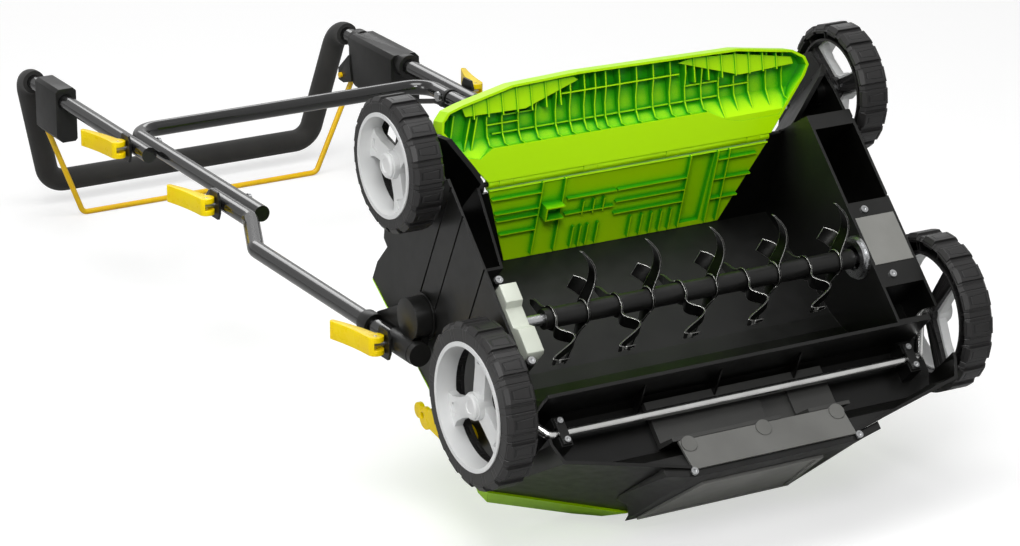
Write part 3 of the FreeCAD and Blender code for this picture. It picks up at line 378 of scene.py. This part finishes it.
def tempered_spring_steel():
    """Oil-blackened spring steel: dark cloudy faces, with a painted highlight along every edge,
    where the rolled normal turns away from the flat one."""
    material, tree = blank_material("tempered_spring_steel")
    place = add(tree, "ShaderNodeTexCoord").outputs["Object"]
    cloud = add(tree, "ShaderNodeTexNoise", {"Vector": place, "Scale": pitch(22.0), "Detail": 5.0})
    dark = add(tree, "ShaderNodeValToRGB", {"Fac": cloud},
               stops=[(0.3, srgb("121211")), (0.75, srgb("2E2E2D"))])
    rounded = add(tree, "ShaderNodeBevel", {"Radius": 1.1 * MM}, samples=6)
    flat = add(tree, "ShaderNodeNewGeometry").outputs["Normal"]
    turn = add(tree, "ShaderNodeVectorMath", {0: rounded, 1: flat},
               operation="DOT_PRODUCT").outputs["Value"]
    # Painted highlight: the bright D8D8D4 is painted along every edge.
    painted_edge_highlight = add(tree, "ShaderNodeValToRGB", {"Fac": turn},
               stops=[(0.80, grey(1.0)), (0.97, grey(0.0))])
    tint = add(tree, "ShaderNodeMix", {"Factor": painted_edge_highlight, "A": dark, "B": srgb("D8D8D4")},
               data_type="RGBA")
    blotches = add(tree, "ShaderNodeTexNoise",
                   {"Vector": place, "Scale": pitch(6.0), "Detail": 4.0})
    gloss = add(tree, "ShaderNodeValToRGB", {"Fac": blotches},
                stops=[(0.3, grey(0.26)), (0.75, grey(0.42))])
    bump = add(tree, "ShaderNodeBump",
               {"Height": cloud, "Distance": 0.1 * MM, "Strength": 0.3, "Normal": rounded})
    shader = add(tree, "ShaderNodeBsdfPrincipled",
                 {"Base Color": tint, "Roughness": gloss, "Normal": bump, "Metallic": 0.85})
    add(tree, "ShaderNodeOutputMaterial", {"Surface": shader})
    return material


# One finish for each material slot of the record; the tyres have one of their own for each wheel.
FINISHES = {
    # Painted shade darkens the black plastic inside the chassis towards 050504.
    "black_plastic": moulded_plastic("glass_filled_polypropylene_black", "1E1E1D", "171716", 0.34,
                                     gleam=0.35, painted_cavity_shade="050504"),
    "lime_plastic": lime_polypropylene(),
    "yellow_plastic": moulded_plastic("nylon_yellow", "FFE300", "FFD800", 0.3, grain_mm=2.0,
                                      depth_mm=0.015, gleam=0.25),
    "yellow_metal": coated_steel("powder_coat_yellow", "FFD000", "FBC600", 0.3, coat=0.15),
    "rim_grey": moulded_plastic("abs_light_grey", "E6E7E6", "DDDEDE", 0.38),
    # Painted light: the nose is grey plastic, painted lighter than its own grey to stand in for
    # light off the floor on its down-facing panel.
    "nose_grey": moulded_plastic("abs_grey_painted_lighter", "9C9C98", "92928E", 0.38),
    "bearing_white": moulded_plastic("acetal_white", "D3D8CB", "C8CDBF", 0.42),
    "tube_black": coated_steel("powder_coat_black", "0D0D0D", "080808", 0.2, coat=0.7),
    "foam_black": eva_foam(),
    "cable_black": moulded_plastic("pvc_sheath_black", "151514", "10100F", 0.45, grain_mm=3.0),
    "knife_steel": tempered_spring_steel(),
    "bright_steel": plated_steel("zinc_plated_steel", "C9CACB", "B4B5B6", 0.28),
    "axle_chrome": plated_steel("bright_drawn_steel", "F4F4F2", "E2E2E0", 0.2, line_mm=0.7),
    "motor_black": coated_steel("motor_enamel_black", "1A1A1B", "151516", 0.4, coat=0.2),
}

# Nodes whose tint differs from the rest of their slot. The front cover and the belt cover are black
# plastic painted lighter: painted light on the front cover, a painted reflection on the belt cover.
PLATES = {
    # Painted light: the front cover's grey stands in for the light on its up-facing side.
    "front_cover": moulded_plastic("polypropylene_black_cover_painted_light", "666663", "5C5C59", 0.46),
    # Painted reflection: the belt cover's grey stands in for a glancing reflection.
    "belt_cover": moulded_plastic("polypropylene_black_plate_painted_reflection", "8A8A86", "7E7E7A", 0.42),
    "inner_tray": moulded_plastic("polypropylene_tray_charcoal", "3A3A38", "30302F", 0.44),
    "axle_clamps": FINISHES["black_plastic"],
    "flap_pins": FINISHES["black_plastic"],
}


def finish_of(node, slot):
    """Finish of one node: a tyre's tread, a plate's own tint or painted light, or else its slot's.
    """
    if node.startswith("tyre_"):
        return tread_plastic(node[len("tyre_"):])
    return PLATES.get(node, FINISHES[slot])


def dress_nodes():
    """Gives every CAD node its finish."""
    for part in frame["record"]["subparts"]:
        node = frame["nodes"][part["node"]]
        node.data.materials.clear()
        node.data.materials.append(finish_of(part["node"], part["material_slot"]))


# ---- what the record says of a node ----
def body_of(node):
    groups = frame["record"]["behaviour"]["bodies"]
    return next(body for body, members in groups.items() if node in members)


def slot_of(node):
    return next(part["material_slot"] for part in frame["record"]["subparts"]
                if part["node"] == node)


def hinge_axis():
    joints = frame["record"]["behaviour"]["joints"]
    return Vector(next(joint["pos_m"] for joint in joints if joint["name"] == "flap_hinge"))


# ---- steps that the new pieces share ----
def select_only(*pieces):
    """Selects these pieces and nothing else, with the first of them active."""
    bpy.ops.object.select_all(action="DESELECT")
    for piece in pieces:
        piece.select_set(True)
    bpy.context.view_layer.objects.active = pieces[0]


def modify(piece, name, kind, **settings):
    """Puts a modifier with its settings on a piece."""
    modifier = piece.modifiers.new(name, kind)
    for setting, value in settings.items():
        setattr(modifier, setting, value)


def keep_shape(piece):
    """Applies every modifier of a piece."""
    select_only(piece)
    for modifier in list(piece.modifiers):
        bpy.ops.object.modifier_apply(modifier=modifier.name)


def add_ring(sides, radius, place, turn):
    """Adds a circle of edges and applies its place, so that its object sits at the origin."""
    bpy.ops.object.select_all(action="DESELECT")
    bpy.ops.mesh.primitive_circle_add(vertices=sides, radius=radius, location=place, rotation=turn)
    bpy.ops.object.transform_apply(location=True, rotation=True, scale=True)
    return bpy.context.object


def draw_out(ring, travel):
    """Extrudes a circle of edges into an open sleeve whose faces point outwards."""
    select_only(ring)
    bpy.ops.object.mode_set(mode="EDIT")
    bpy.ops.mesh.select_all(action="SELECT")
    bpy.ops.mesh.extrude_region_move(TRANSFORM_OT_translate={"value": travel})
    bpy.ops.mesh.select_all(action="SELECT")
    bpy.ops.mesh.normals_make_consistent(inside=False)
    bpy.ops.object.mode_set(mode="OBJECT")


def finish_piece(piece, name, body, material):
    piece.name = name
    piece.data.materials.clear()
    piece.data.materials.append(material)
    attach(piece, body)


# ---- the new pieces ----
def round_housing(node, radius_mm):
    """Copy of a moulded part with its sharp corners rolled over, in place of the plain solid."""
    piece = frame["nodes"][node].copy()
    piece.data = piece.data.copy()
    piece.parent = None
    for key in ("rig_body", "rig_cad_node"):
        del piece[key]
    bpy.context.scene.collection.objects.link(piece)
    select_only(piece)
    bpy.ops.object.mode_set(mode="EDIT")
    bpy.ops.mesh.select_all(action="SELECT")
    bpy.ops.mesh.remove_doubles(threshold=WELD)
    bpy.ops.mesh.dissolve_limited(angle_limit=NEARLY_FLAT)
    bpy.ops.object.mode_set(mode="OBJECT")
    modify(piece, "rolled_edges", "BEVEL", width=radius_mm * MM, segments=ROLL_SEGMENTS,
           limit_method="ANGLE", angle_limit=CORNER)
    keep_shape(piece)
    bpy.ops.object.shade_smooth_by_angle(angle=CORNER)
    slot = slot_of(node)
    finish_piece(piece, "moulded_" + node, body_of(node), finish_of(node, slot))
    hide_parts(node)


def cable_tie(name, body, x, y, z):
    """Nylon tie round the tube at x, y, z and the lead under it, with its square lock."""
    tie = add_ring(TIE_SIDES, TUBE_RADIUS + TIE_ROOM, (x, y, z), (math.radians(90), 0, 0))
    for vertex in tie.data.vertices:
        drop = z - vertex.co.z
        if drop > TIE_ROUND * TUBE_RADIUS:
            share = (drop - TIE_ROUND * TUBE_RADIUS) / ((1 - TIE_ROUND) * TUBE_RADIUS)
            vertex.co.x = x + (vertex.co.x - x) * (1 - TIE_PINCH * share)
            vertex.co.z -= share * TIE_SAG
    draw_out(tie, (0, TIE_WIDTH, 0))
    modify(tie, "strap", "SOLIDIFY", thickness=TIE_THICKNESS, offset=OUTWARDS)
    keep_shape(tie)
    bpy.ops.object.select_all(action="DESELECT")
    bpy.ops.mesh.primitive_cube_add(
        size=1.0, location=(x - TUBE_RADIUS - LOCK_OUT, y + TIE_WIDTH / 2, z - LOCK_DOWN),
        scale=LOCK_SIZE)
    lock = bpy.context.object
    bpy.ops.object.transform_apply(location=True, rotation=True, scale=True)
    select_only(tie, lock)
    bpy.ops.object.join()
    modify(tie, "soft_edges", "BEVEL", width=TIE_EDGE, segments=EDGE_SEGMENTS,
           limit_method="ANGLE")
    keep_shape(tie)
    finish_piece(tie, name, body, FINISHES["cable_black"])


def cable_ties():
    """Ties along the lead, each round the tube that its stretch is laid along."""
    for name, node, share in TIES:
        low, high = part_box(node)
        y = low.y + (high.y - low.y) * share
        tube = TUBE_BESIDE[node]
        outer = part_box(tube)[1]
        cable_tie(name, body_of(node), outer.x - TUBE_RADIUS, y, outer.z - TUBE_RADIUS)


def flap_barrel():
    """Sleeves of the flap round its hinge axis, one on each side of every knuckle."""
    axis = hinge_axis()
    edges = [-HINGE_HALF_MM]
    for middle in KNUCKLE_MIDDLES_MM:
        edges += [middle - KNUCKLE_HALF_MM, middle + KNUCKLE_HALF_MM]
    edges.append(HINGE_HALF_MM)
    sleeves = []
    for start, end in zip(edges[0::2], edges[1::2]):
        sleeve = add_ring(SLEEVE_SIDES, SLEEVE_RADIUS, (start * MM, axis.y, axis.z),
                          (0, math.radians(90), 0))
        draw_out(sleeve, ((end - start) * MM, 0, 0))
        modify(sleeve, "wall", "SOLIDIFY", thickness=SLEEVE_RADIUS - PIN_ROOM, offset=INWARDS)
        modify(sleeve, "soft_ends", "BEVEL", width=SLEEVE_EDGE, segments=EDGE_SEGMENTS,
               limit_method="ANGLE")
        keep_shape(sleeve)
        sleeves.append(sleeve)
    select_only(*sleeves)
    bpy.ops.object.join()
    bpy.ops.object.shade_smooth_by_angle(angle=SLEEVE_CORNER)
    finish_piece(sleeves[0], "flap_hinge_barrel", "flap",
                 FINISHES["lime_plastic"])


# ---- surroundings ----
def make_camera():
    data = bpy.data.cameras.new("camera")
    data.lens = LENS_MM
    data.clip_end = CAMERA_SIGHT
    camera = bpy.data.objects.new("camera", data)
    bpy.context.scene.collection.objects.link(camera)
    away = Vector((math.sin(CAMERA_AZIMUTH) * math.cos(CAMERA_ELEVATION),
                   -math.cos(CAMERA_AZIMUTH) * math.cos(CAMERA_ELEVATION),
                   math.sin(CAMERA_ELEVATION)))
    camera.location = CAMERA_AIM + away * CAMERA_DISTANCE
    camera.rotation_euler = (-away).to_track_quat("-Z", "Y").to_euler()
    bpy.context.scene.camera = camera


def make_floor():
    """White paper: it takes the object's shadow, and to the camera it is as pale as the sky."""
    bpy.ops.object.select_all(action="DESELECT")
    bpy.ops.mesh.primitive_plane_add(size=FLOOR_SPAN, location=(0, 0, 0))
    floor = bpy.context.object
    floor.name = "studio_floor"
    material, tree = blank_material("white_paper_floor")
    matt = add(tree, "ShaderNodeBsdfDiffuse", {"Color": grey(PAPER_GREY)})
    seen = add(tree, "ShaderNodeLightPath").outputs["Is Camera Ray"]
    strength = add(tree, "ShaderNodeMath", {0: seen, 1: PAPER_GLOW}, operation="MULTIPLY")
    glow = add(tree, "ShaderNodeEmission", {"Color": grey(1.0), "Strength": strength})
    both = add(tree, "ShaderNodeAddShader", {0: matt, 1: glow})
    add(tree, "ShaderNodeOutputMaterial", {"Surface": both})
    floor.data.materials.append(material)


def make_world():
    """Pale sky: a little even light, white to the camera and half as white in glossy surfaces."""
    world = bpy.data.worlds.new("studio")
    bpy.context.scene.world = world
    world.use_nodes = True
    tree = world.node_tree
    tree.nodes.clear()
    rays = add(tree, "ShaderNodeLightPath").outputs
    soft = add(tree, "ShaderNodeBackground", {"Color": grey(1.0), "Strength": SKY_LIGHT})
    white = add(tree, "ShaderNodeBackground", {"Color": grey(1.0), "Strength": SKY_WHITE})
    mirrored = add(tree, "ShaderNodeMath", {0: rays["Is Glossy Ray"], 1: SKY_MIRRORED},
                   operation="MULTIPLY")
    share = add(tree, "ShaderNodeMath", {0: rays["Is Camera Ray"], 1: mirrored},
                operation="MAXIMUM")
    mixed = add(tree, "ShaderNodeMixShader", {0: share, 1: soft, 2: white})
    add(tree, "ShaderNodeOutputWorld", {"Surface": mixed})


def make_lamp(name, place, aim, size, power):
    data = bpy.data.lights.new(name, "AREA")
    data.shape = "RECTANGLE"
    data.size, data.size_y = size
    data.energy = power
    lamp = bpy.data.objects.new(name, data)
    bpy.context.scene.collection.objects.link(lamp)
    lamp.location = place
    lamp.rotation_euler = (Vector(aim) - Vector(place)).to_track_quat("-Z", "Y").to_euler()


make_camera()
make_world()
make_floor()
for softbox in SOFTBOXES:
    make_lamp(*softbox)
dress_nodes()
for housing, roll_mm in ROUNDED.items():
    round_housing(housing, roll_mm)
cable_ties()
flap_barrel()

bpy.context.scene.view_settings.view_transform = "Standard"
